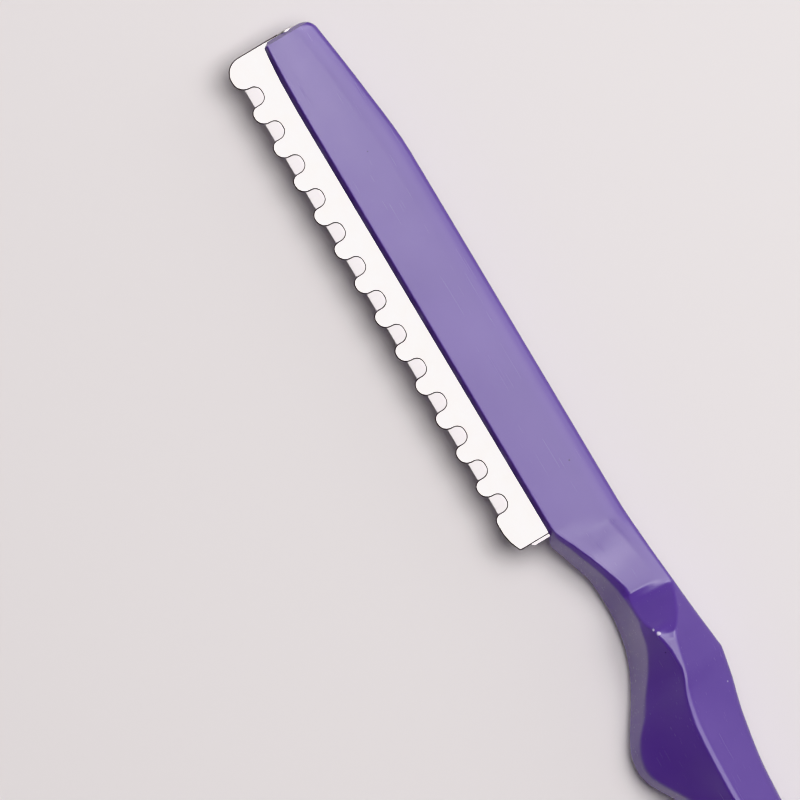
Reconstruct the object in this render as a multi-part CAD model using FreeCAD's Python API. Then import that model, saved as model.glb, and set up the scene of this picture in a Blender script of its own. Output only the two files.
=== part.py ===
"""Hair-styling razor: a moulded handle, a comb guard that slides in its head, and a blade in the guard.

The razor lies on its side. +X runs along the handle to the tip of the head, +Y points where the
blade cuts and +Z is up. Every length is in millimetres. While the pieces are made, x is measured
from the head's tip and y from the head's cutting-side face; the last step moves them all so that
the origin is under the middle of the razor, at its lowest point.
"""
import FreeCAD, Part
import math
import os

V = FreeCAD.Vector

# Blade and the bead crimped along its back. The blade's length sets the guard's and the head's.
BLADE_LENGTH = 62.0
BLADE_THICKNESS = 0.25
BLADE_REACH = 3.75
BLADE_CORNER_LENGTH = 0.8
BLADE_CORNER_DEPTH = 1.8
BLADE_IN_BEAD = 0.35
BEVEL_WIDTH = 1.3
EDGE_THICKNESS = 0.03

# Comb guard: one folded strip of stainless sheet with a rolled back.
GUARD_SHEET = 0.35
GUARD_PAST_BLADE = 3.0
BLADE_PAST_GUARD = 0.3
GUARD_PROUD = 0.2
BEAD_RADIUS = 1.05
BEAD_DEPTH = 3.7
COMB_REACH = 4.5
REAR_LEAF_REACH = 2.0

# Comb teeth, from the tip lobe to the heel lobe.
GULLET_PITCH = 4.5
GULLET_WIDTH = 2.1
GULLET_DEPTH = 2.3
GULLET_ROUND = 0.9
TOOTH_TIP_ROUND = 0.95
TOOTH_HEEL_ROUND = 1.3
TIP_LOBE_LENGTH = 3.75
TIP_LOBE_REACH = 4.8
TIP_LOBE_ROUND = 2.0
TIP_LOBE_HEEL_ROUND = 1.5
HEEL_LOBE_LENGTH = 4.0
HEEL_CUT_LENGTH = 1.9
HEEL_CUT_DEPTH = 0.75
HEEL_CORNER_ROUND = 0.3

# Clearances of the running fits.
BEAD_CLEARANCE = 0.06
LEAF_CLEARANCE = 0.075
BLADE_CLEARANCE = 0.05

# Handle: lengths of its stretches, from the slot's end to the end of the tail.
SLOT_END_WALL = 0.4
NECK_LENGTH = 10.3
RAMP_LENGTH = 5.5
TOP_LENGTH = 4.4
ELBOW_TO_BELLY = 8.1
BELLY_TO_TAIL = 7.5
TAIL_LENGTH = 71.0

# Handle: widths, reaches and heights. The front is the cutting side, the spine is the other one.
HEAD_WIDTH = 8.8
HEAD_TIP_WIDTH = 6.8
HEAD_THICKNESS = 4.6
TIP_TAPER = 19.0
NECK_SWELL = 0.1
NECK_HOLLOW = 1.1
ELBOW_REACH = 10.4
BELLY_REACH = 5.2
GRIP_THICKNESS = 12.0
GRIP_SHOULDER = 3.1
GRIP_BROW = 2.8
TAIL_WIDTH = 6.0
TAIL_THICKNESS = 6.8
TAIL_SWEEP = 9.0
TAIL_SHOULDER = 1.7
FRONT_EDGE_ROUND = 0.55
SPINE_EDGE_ROUND = 1.2
TIP_END_ROUND = 0.5
TIP_CORNER_ROUND = 1.1
TAIL_END_ROUND = 3.0

# Places and sizes that follow from those. Each "at" is measured back from the head's tip.
guard_length = GUARD_PAST_BLADE + BLADE_LENGTH - BLADE_PAST_GUARD
guard_heel = guard_length - GUARD_PROUD
slot_end = guard_heel + BLADE_PAST_GUARD
neck_at = slot_end + SLOT_END_WALL
ramp_at = neck_at + NECK_LENGTH
top_at = ramp_at + RAMP_LENGTH
elbow_at = top_at + TOP_LENGTH
belly_at = elbow_at + ELBOW_TO_BELLY
tail_at = belly_at + BELLY_TO_TAIL
end_at = tail_at + TAIL_LENGTH
leaf_inside = BLADE_THICKNESS / 2 + BLADE_CLEARANCE
leaf_outside = leaf_inside + GUARD_SHEET
slot_half = leaf_outside + LEAF_CLEARANCE
head_half = HEAD_THICKNESS / 2
neck_half = head_half + NECK_SWELL
grip_half = GRIP_THICKNESS / 2
tail_half = TAIL_THICKNESS / 2


def follow(line, s):
    """Value at s of the smooth line through (station, value) points, with no overshoot between them."""
    steps = [(b[1] - a[1]) / (b[0] - a[0]) for a, b in zip(line, line[1:])]
    slopes = [steps[0]]
    for before, after in zip(steps, steps[1:]):
        slopes.append(2 * before * after / (before + after) if before * after > 0 else 0.0)
    slopes.append(steps[-1])
    span = max([i for i in range(len(steps)) if line[i][0] <= s], default=0)
    (s0, v0), (s1, v1) = line[span], line[span + 1]
    length = s1 - s0
    u = min(max((s - s0) / length, 0.0), 1.0)
    start = (1 + 2 * u) * (1 - u) ** 2 * v0 + u * (1 - u) ** 2 * length * slopes[span]
    return start + u * u * (3 - 2 * u) * v1 + u * u * (u - 1) * length * slopes[span + 1]


def handle_sides():
    """How far the spine and the front of the handle stand in y, as (place, y) points."""
    spine = [
        (0, -HEAD_TIP_WIDTH),
        (TIP_TAPER / 2, -0.4 * HEAD_TIP_WIDTH - 0.6 * HEAD_WIDTH),
        (TIP_TAPER, -HEAD_WIDTH),
        (neck_at, -HEAD_WIDTH),
        (ramp_at, -HEAD_WIDTH - 0.7),
        (top_at, -ELBOW_REACH + 0.5),
        (elbow_at, -ELBOW_REACH),
        (elbow_at + 3.6, -ELBOW_REACH + 0.75),
        (belly_at, -ELBOW_REACH + 1.85),
        (tail_at, -ELBOW_REACH + 3.0),
        (tail_at + 16, -ELBOW_REACH + 3.6),
        (end_at, -TAIL_SWEEP),
    ]
    front = [
        (0, 0),
        (neck_at, 0),
        (neck_at + 0.3 * NECK_LENGTH, -0.05 * NECK_HOLLOW),
        (neck_at + 0.7 * NECK_LENGTH, -NECK_HOLLOW),
        (ramp_at + 2, -NECK_HOLLOW),
        (top_at + 1, -0.25),
        (elbow_at, 0.27 * BELLY_REACH),
        (elbow_at + 3.4, 0.68 * BELLY_REACH),
        (belly_at, BELLY_REACH),
        (belly_at + 3.5, 0.75 * BELLY_REACH),
        (tail_at + 1, 0.35 * BELLY_REACH),
        (tail_at + 11, -0.4),
        (end_at, TAIL_WIDTH - TAIL_SWEEP),
    ]
    return spine, front


def handle_rails():
    """Lines along the handle where its facets meet, in order from the spine's upper side to its lower.

    A rail's points are (place, share, height): the share of the way from the spine to the front,
    and the height over the plane of the blade.
    """
    edge = FRONT_EDGE_ROUND / HEAD_WIDTH
    flat = head_half - FRONT_EDGE_ROUND
    return {
        "shoulder": [
            (0, 0, head_half),
            (neck_at, 0, head_half),
            (ramp_at, 0, neck_half),
            (elbow_at, 0, GRIP_SHOULDER),
            (tail_at, 0, GRIP_SHOULDER),
            (end_at, 0, TAIL_SHOULDER),
        ],
        "scoop": [
            (0, 0.3, head_half),
            (neck_at, 0.3, head_half),
            (ramp_at, 0.17, neck_half),
            (top_at, 0.36, 0.98 * grip_half),
            (elbow_at, 0.41, grip_half),
            (elbow_at + 3.4, 0.4, grip_half),
            (belly_at, 0.37, grip_half),
            (tail_at, 0.45, grip_half),
            (end_at, 0.45, tail_half),
        ],
        "crest": [
            (0, 1 - edge, head_half),
            (neck_at, 1 - edge, head_half),
            (ramp_at, 0.6, neck_half),
            (top_at, 0.51, 0.98 * grip_half),
            (elbow_at, 0.46, grip_half),
            (elbow_at + 3.4, 0.45, grip_half),
            (belly_at, 0.42, grip_half),
            (tail_at, 0.52, grip_half),
            (end_at, 0.53, tail_half),
        ],
        "brow": [
            (0, 1 - 0.3 * edge, head_half - 0.3 * FRONT_EDGE_ROUND),
            (neck_at, 1 - 0.3 * edge, head_half - 0.3 * FRONT_EDGE_ROUND),
            (ramp_at, 0.75, 0.75 * neck_half),
            (top_at, 0.79, 1.15 * GRIP_BROW),
            (elbow_at, 0.855, 1.15 * GRIP_BROW),
            (elbow_at + 3.4, 0.91, GRIP_BROW),
            (belly_at, 0.94, 0.85 * GRIP_BROW),
            (tail_at, 0.92, 0.85 * GRIP_BROW),
            (end_at, 0.85, TAIL_SHOULDER),
        ],
        "front": [
            (0, 1, flat),
            (neck_at, 1, flat),
            (ramp_at, 1, -0.7 * neck_half),
            (belly_at, 1, -0.1 * grip_half),
            (end_at, 1, 0.1 * tail_half),
        ],
        "underfront": [
            (0, 1, -flat),
            (neck_at, 1, -flat),
            (ramp_at, 1, -1.1 * neck_half),
            (belly_at, 1, -0.25 * grip_half),
            (end_at, 1, -0.1 * tail_half),
        ],
        "underbrow": [
            (0, 1 - edge, -head_half),
            (neck_at, 1 - edge, -head_half),
            (ramp_at, 0.87, -1.6 * neck_half),
            (elbow_at, 0.88, -0.6 * grip_half),
            (belly_at, 0.92, -0.48 * grip_half),
            (tail_at, 0.9, -0.45 * grip_half),
            (end_at, 0.85, -0.5 * tail_half),
        ],
        "keel": [
            (0, 0.5, -head_half),
            (neck_at, 0.5, -head_half),
            (ramp_at, 0.5, -1.9 * neck_half),
            (top_at, 0.5, -0.95 * grip_half),
            (elbow_at, 0.5, -grip_half),
            (tail_at, 0.5, -grip_half),
            (end_at, 0.5, -tail_half),
        ],
        "undershoulder": [
            (0, 0, -head_half),
            (neck_at, 0, -head_half),
            (ramp_at, 0, -neck_half),
            (elbow_at, 0, -GRIP_SHOULDER),
            (tail_at, 0, -GRIP_SHOULDER),
            (end_at, 0, -TAIL_SHOULDER),
        ],
    }


def end_inset(distance, radius):
    """How far a round of this radius has drawn the surface in, this far from the end of the body."""
    if distance >= radius:
        return 0.0
    return radius - math.sqrt(radius ** 2 - (radius - distance) ** 2)


def round_edge(start, corner, end):
    """Edge that leaves start toward the corner and comes into end from it."""
    curve = Part.BezierCurve()
    curve.setPoles([start, corner, end])
    return curve.toShape()


def section_edges(place):
    """Edges round the handle's section at a place: one between each two rails, and two soft corners."""
    spine_line, front_line = handle_sides()
    spine = follow(spine_line, place) + end_inset(place, TIP_CORNER_ROUND)
    width = follow(front_line, place) - spine
    tip_inset = end_inset(place, TIP_END_ROUND)
    tail_left = 1 - end_inset(end_at - place, TAIL_END_ROUND) / TAIL_END_ROUND
    middle = spine + width / 2

    def on_section(y, z):
        return V(-place, middle + (y - middle) * tail_left, z * tail_left)

    corners = []
    for rail in handle_rails().values():
        share = follow([(at, across) for at, across, height in rail], place)
        height = follow([(at, height) for at, across, height in rail], place)
        corners.append((spine + share * width, height * (1 - tip_inset / head_half)))
    soft = [
        on_section(spine, corners[0][1] - SPINE_EDGE_ROUND),
        on_section(*corners[0]),
        on_section(spine + SPINE_EDGE_ROUND, corners[0][1]),
        on_section(spine + SPINE_EDGE_ROUND, corners[-1][1]),
        on_section(*corners[-1]),
        on_section(spine, corners[-1][1] + SPINE_EDGE_ROUND),
    ]
    path = [soft[2]] + [on_section(y, z) for y, z in corners[1:-1]] + [soft[3]]
    edges = [round_edge(*soft[0:3])]
    edges += [Part.LineSegment(start, end).toShape() for start, end in zip(path, path[1:])]
    return edges + [round_edge(*soft[3:6]), Part.LineSegment(soft[5], soft[0]).toShape()]


def strip_between(near, far):
    """Face between the same edge of two sections: a plane where its corners lie in one."""
    near_start, near_end = near.valueAt(near.FirstParameter), near.valueAt(near.LastParameter)
    far_start, far_end = far.valueAt(far.FirstParameter), far.valueAt(far.LastParameter)
    normal = (near_end - near_start).cross(far_start - near_start)
    straight = near.Length - (near_end - near_start).Length < 1e-7
    if straight and abs(normal.dot(far_end - near_start)) < 1e-7 * normal.Length:
        return Part.Face(Part.makePolygon([near_start, near_end, far_end, far_start, near_start]))
    return Part.makeRuledSurface(near, far)


def flat_sided_head():
    """Head of the handle, with true planes for its two cheeks and its slot-side face."""
    tip = [0, 0.3 * TIP_END_ROUND, TIP_END_ROUND, TIP_CORNER_ROUND]
    places = tip + [TIP_TAPER * part for part in (0.2, 0.4, 0.6, 0.8, 1)] + [neck_at]
    sections = [section_edges(place) for place in places]
    faces = [Part.Face(Part.Wire(sections[0])), Part.Face(Part.Wire(sections[-1]))]
    for near, far in zip(sections, sections[1:]):
        faces += [strip_between(a, b) for a, b in zip(near, far)]
    shell = Part.makeCompound(faces)
    shell.sewShape()
    head = Part.Solid(shell.Shells[0])
    if head.Volume < 0:
        head.reverse()
    return head


def smooth_grip():
    """Neck, grip and tail, lofted through sections that stand closer where the shape turns fast."""
    grip = [neck_at + (tail_at - neck_at) * i / 18 for i in range(19)]
    tail = [tail_at + (TAIL_LENGTH - TAIL_END_ROUND) * i / 8 for i in range(1, 9)]
    tail_round = [end_at - TAIL_END_ROUND * left for left in (0.7, 0.4, 0.15, 0.03)]
    wires = [Part.Wire(section_edges(place)) for place in grip + tail + tail_round]
    return Part.makeLoft(wires, True)


def handle():
    """Moulded handle, with the keyhole slot that the guard's folded strip slides in."""
    body = flat_sided_head().fuse(smooth_grip()).removeSplitter()
    past_tip = 2
    slot_back = -BEAD_DEPTH - BLADE_IN_BEAD - BEAD_CLEARANCE
    slot_corner = V(-slot_end, slot_back, -slot_half)
    slot = Part.makeBox(slot_end + past_tip, past_tip - slot_back, 2 * slot_half, slot_corner)
    channel_end = V(-guard_heel, -BEAD_DEPTH, 0)
    channel = Part.makeCylinder(BEAD_RADIUS + BEAD_CLEARANCE, guard_heel + past_tip, channel_end, V(1, 0, 0))
    return body.cut(slot.fuse(channel))


def rounded_face(corners):
    """Flat face at z = 0 with an outline of (x, y, radius) corners joined by straight lines."""
    points = [V(x, y, 0) for x, y, radius in corners]
    bends = []
    for i, corner in enumerate(points):
        radius = corners[i][2]
        before = (points[i - 1] - corner).normalize()
        after = (points[(i + 1) % len(points)] - corner).normalize()
        half_angle = before.getAngle(after) / 2
        along = radius / math.tan(half_angle)
        to_arc = radius / math.sin(half_angle) - radius
        middle = corner + (before + after).normalize() * to_arc
        bends.append((corner + before * along, middle, corner + after * along))
    edges = []
    for i, (start, middle, end) in enumerate(bends):
        if corners[i][2] > 0:
            edges.append(Part.Arc(start, middle, end).toShape())
        following = bends[(i + 1) % len(bends)][0]
        if (following - end).Length > 1e-6:
            edges.append(Part.LineSegment(end, following).toShape())
    return Part.Face(Part.Wire(edges))


def comb_corners():
    """Corners of the front leaf: tip lobe, the teeth with their gullets between, and heel lobe."""
    bottom = COMB_REACH - GULLET_DEPTH
    tooth = GULLET_PITCH - GULLET_WIDTH
    gullet_round = min(GULLET_ROUND, 0.45 * GULLET_WIDTH)
    side_wall = GULLET_DEPTH - gullet_round
    tip_round = min(TOOTH_TIP_ROUND, side_wall, 0.4 * tooth)
    heel_round = min(TOOTH_HEEL_ROUND, side_wall, 0.55 * tooth)
    crest = TIP_LOBE_REACH
    crest_round = min(TIP_LOBE_HEEL_ROUND, 0.4 * TIP_LOBE_LENGTH)
    lobe_round = min(TIP_LOBE_ROUND, 0.55 * TIP_LOBE_LENGTH)
    corners = [(GUARD_PROUD, -BEAD_DEPTH, 0), (GUARD_PROUD, crest, lobe_round)]
    tip_wall = GUARD_PROUD - TIP_LOBE_LENGTH
    while tip_wall - GULLET_WIDTH - HEEL_LOBE_LENGTH > -guard_heel:
        heel_wall = tip_wall - GULLET_WIDTH
        corners += [
            (tip_wall, crest, crest_round),
            (tip_wall, bottom, gullet_round),
            (heel_wall, bottom, gullet_round),
            (heel_wall, COMB_REACH, tip_round),
        ]
        crest = COMB_REACH
        crest_round = heel_round
        tip_wall -= GULLET_PITCH
    return corners + [
        (-guard_heel + HEEL_CUT_LENGTH, COMB_REACH, tip_round),
        (-guard_heel, COMB_REACH - HEEL_CUT_DEPTH, HEEL_CORNER_ROUND),
        (-guard_heel, -BEAD_DEPTH, 0),
    ]


def comb_guard():
    """Folded strip: toothed front leaf, plain rear leaf, and the rolled back that joins them."""
    heel = V(-guard_heel, -BEAD_DEPTH, 0)
    along = V(1, 0, 0)
    front = rounded_face(comb_corners()).extrude(V(0, 0, GUARD_SHEET))
    front.translate(V(0, 0, leaf_inside))
    rear_width = BEAD_DEPTH + REAR_LEAF_REACH
    rear = Part.makeBox(guard_length, rear_width, GUARD_SHEET, heel - V(0, 0, leaf_outside))
    bead = Part.makeCylinder(BEAD_RADIUS, guard_length, heel, along)
    bore = Part.makeCylinder(BEAD_RADIUS - GUARD_SHEET, guard_length, heel, along)
    mouth = Part.makeBox(guard_length, 2 * BEAD_RADIUS, 2 * leaf_inside, heel - V(0, 0, leaf_inside))
    return bead.fuse([front, rear]).cut(bore.fuse(mouth)).removeSplitter()


def blade():
    """Steel strip with its cutting edge ground from both faces and its outer corners cut off."""
    heel = -slot_end
    tip = heel + BLADE_LENGTH
    back = -BEAD_DEPTH - BLADE_IN_BEAD
    half = BLADE_THICKNESS / 2
    plate = rounded_face([
        (tip, back, 0),
        (tip, BLADE_REACH - BLADE_CORNER_DEPTH, 0),
        (tip - BLADE_CORNER_LENGTH, BLADE_REACH, 0),
        (heel + BLADE_CORNER_LENGTH, BLADE_REACH, 0),
        (heel, BLADE_REACH - BLADE_CORNER_DEPTH, 0),
        (heel, back, 0),
    ]).extrude(V(0, 0, BLADE_THICKNESS))
    plate.translate(V(0, 0, -half))
    shoulder = BLADE_REACH - BEVEL_WIDTH
    profile = [
        V(heel, back, -half),
        V(heel, shoulder, -half),
        V(heel, BLADE_REACH, -EDGE_THICKNESS / 2),
        V(heel, BLADE_REACH, EDGE_THICKNESS / 2),
        V(heel, shoulder, half),
        V(heel, back, half),
    ]
    ground = Part.Face(Part.makePolygon(profile + profile[:1])).extrude(V(BLADE_LENGTH, 0, 0))
    return plate.common(ground)


def blade_spine():
    """Round bead crimped over the blade's back edge, as long as the guard's rolled back allows."""
    length = BLADE_LENGTH - BLADE_PAST_GUARD
    radius = BEAD_RADIUS - GUARD_SHEET - BEAD_CLEARANCE
    start = V(-guard_heel, -BEAD_DEPTH, 0)
    bead = Part.makeCylinder(radius, length, start, V(1, 0, 0))
    groove_corner = start - V(0, BLADE_IN_BEAD, BLADE_THICKNESS / 2)
    return bead.cut(Part.makeBox(length, 2 * radius, BLADE_THICKNESS, groove_corner))


pieces = {
    "handle": handle(),
    "comb_guard": comb_guard(),
    "blade": blade(),
    "blade_spine": blade_spine(),
}
box = Part.makeCompound(list(pieces.values())).optimalBoundingBox(False, False)
to_origin = V(-box.Center.x, -box.Center.y, -box.ZMin)
os.makedirs("parts", exist_ok=True)
for name, shape in pieces.items():
    shape.translate(to_origin)
    shape.exportStep(f"parts/{name}.step")
    state = "valid" if shape.isValid() else "broken"
    print(f"{name}: {state}, {len(shape.Solids)} solid, {shape.Volume:.2f} mm3")
print(f"overall {box.XLength:.2f} x {box.YLength:.2f} x {box.ZLength:.2f} mm, moved by {to_origin}")
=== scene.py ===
# %% [markdown]
# # A hair styling razor, modelled and finished around its CAD frame
# The razor has four pieces: a moulded plastic handle, a comb guard folded from stainless sheet, a
# blade, and the bead crimped on the blade's back. The CAD frame gives their places and the slides
# that move them. This lesson models each piece again with the edges, grinds and finishes that a
# drawing leaves out, and lays the razor on a pale table under a wide soft light.

# %% Tools and the frame
import math

import bmesh
import bpy
from mathutils import Euler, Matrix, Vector


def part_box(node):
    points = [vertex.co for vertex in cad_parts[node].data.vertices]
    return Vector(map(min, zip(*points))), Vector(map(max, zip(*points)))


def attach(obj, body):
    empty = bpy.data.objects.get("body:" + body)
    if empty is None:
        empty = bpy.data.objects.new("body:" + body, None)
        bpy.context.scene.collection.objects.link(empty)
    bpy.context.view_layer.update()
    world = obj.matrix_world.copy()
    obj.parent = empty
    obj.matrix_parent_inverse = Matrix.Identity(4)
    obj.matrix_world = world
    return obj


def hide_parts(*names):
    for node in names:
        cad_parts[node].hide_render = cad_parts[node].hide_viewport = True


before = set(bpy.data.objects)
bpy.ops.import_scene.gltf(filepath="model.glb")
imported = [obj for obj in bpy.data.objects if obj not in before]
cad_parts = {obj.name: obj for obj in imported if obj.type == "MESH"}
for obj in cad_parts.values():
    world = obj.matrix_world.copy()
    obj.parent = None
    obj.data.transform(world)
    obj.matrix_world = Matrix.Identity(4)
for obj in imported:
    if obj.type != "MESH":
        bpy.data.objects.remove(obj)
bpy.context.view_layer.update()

# %% [markdown]
# The frame is in metres, but a razor is easier to think of in millimetres. Places on it are given
# the way a moulder would: how far back from the tip of the head, how far toward the cutting side
# from the head's front face, and how high over the plane of the blade. One function turns such a
# place into a point of the frame, and everything below goes through it.

# %% Millimetres and the razor's own directions
MM = 0.001
TIP_LOBE_REACH = 4.8
SAME_PLACE = 1e-6

handle_low, handle_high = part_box("handle")
guard_low, guard_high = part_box("comb_guard")
blade_low, blade_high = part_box("blade")
spine_low, spine_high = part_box("blade_spine")

tip_x = handle_high.x
front_y = guard_high.y - TIP_LOBE_REACH * MM
blade_z = (blade_low.z + blade_high.z) / 2
handle_length = (handle_high.x - handle_low.x) / MM


def place(back, out, up):
    """Point of the frame, this far back from the tip, out to the cutting side and up, in mm."""
    return Vector((tip_x - back * MM, front_y + out * MM, blade_z + up * MM))


def back_from_tip(x):
    """How many millimetres back from the tip a frame x is."""
    return (tip_x - x) / MM


print(f"handle {handle_length:.1f} mm long, blade plane {blade_z / MM:.2f} mm over the table")

# %% [markdown]
# Operators act on whatever is selected, so each modelling step starts from a clean selection and
# then selects by place: a test on the middle of a face or an edge, never an index. These helpers
# keep that habit in one spot. They also apply modifiers, so that each finished piece is a plain
# mesh.


# %% Selection and modifier helpers
def deselect_all():
    """Leaves nothing selected and the scene in object mode."""
    if bpy.context.object and bpy.context.object.mode != "OBJECT":
        bpy.ops.object.mode_set(mode="OBJECT")
    bpy.ops.object.select_all(action="DESELECT")


def start_editing(piece):
    """Opens one piece in edit mode with nothing on it selected."""
    deselect_all()
    piece.select_set(True)
    bpy.context.view_layer.objects.active = piece
    bpy.ops.object.mode_set(mode="EDIT")
    bpy.ops.mesh.select_all(action="DESELECT")


def pick(piece, kind, test):
    """Selects the vertices, edges or faces whose middle passes the test, and returns how many."""
    bpy.ops.mesh.select_mode(type={"verts": "VERT", "edges": "EDGE", "faces": "FACE"}[kind])
    bpy.ops.mesh.select_all(action="DESELECT")
    mesh = bmesh.from_edit_mesh(piece.data)
    count = 0
    for part in getattr(mesh, kind):
        corners = [part] if kind == "verts" else part.verts
        middle = sum((corner.co for corner in corners), Vector()) / len(corners)
        if test(middle, part):
            part.select_set(True)
            count += 1
    mesh.select_flush_mode()
    bmesh.update_edit_mesh(piece.data)
    return count


def stop_editing():
    """Back to object mode."""
    bpy.ops.object.mode_set(mode="OBJECT")


def apply_modifier(piece, kind, **settings):
    """Adds a modifier with these settings and applies it at once."""
    deselect_all()
    piece.select_set(True)
    bpy.context.view_layer.objects.active = piece
    modifier = piece.modifiers.new(kind.title(), kind)
    for name, value in settings.items():
        setattr(modifier, name, value)
    bpy.ops.object.modifier_apply(modifier=modifier.name)


def fix_transform(piece):
    """Puts the piece's place, turn and size into its mesh. Its object then sits at the origin."""
    deselect_all()
    piece.select_set(True)
    bpy.context.view_layer.objects.active = piece
    bpy.ops.object.transform_apply(location=True, rotation=True, scale=True)


def smooth(piece, degrees):
    """Shades the piece smooth, except across edges sharper than this."""
    deselect_all()
    piece.select_set(True)
    bpy.context.view_layer.objects.active = piece
    bpy.ops.object.shade_smooth_by_angle(angle=math.radians(degrees))


def cut_away(piece, cutter):
    """Cuts the cutter's shape out of the piece and removes the cutter."""
    apply_modifier(piece, "BOOLEAN", operation="DIFFERENCE", object=cutter, solver="EXACT")
    bpy.data.objects.remove(cutter)


# %% [markdown]
# ## The handle
# The real handle is one long moulding. Its head is a flat bar, its neck is dished for a finger
# and ends in a short steep ramp, and its grip has two slanting facets that meet in a soft ridge.
# Under the near facet a steep side wall runs down to the table. The shape could be sculpted, or
# built as a box with many bevels. But every line on it runs lengthwise, so a cylinder cut into
# many rings is surer: each ring is laid on the outline that the handle has at that place.
#
# The outline's corners travel along the handle on ten lines, called rails here. A rail is a few
# points of (back, out, up, softness), joined by a smooth curve. Softness is how far from the
# corner its rounding starts, so that a wide softness gives a full curve and a small one gives a
# crisp ridge.

# %% Where things happen along the handle, in millimetres back from the tip
TIP_TAPER = 19.0
HEEL = 64.6
NECK = 65.2
RAMP_FOOT = 75.0
RAMP_TOP = 81.0
ELBOW = 85.4
BELLY = 93.3
TAIL = 101.0
END = handle_length

HEAD_HALF = 2.3
GRIP_HALF = 6.0
TAIL_HALF = 3.4
LIP_HALF = 0.72

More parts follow.
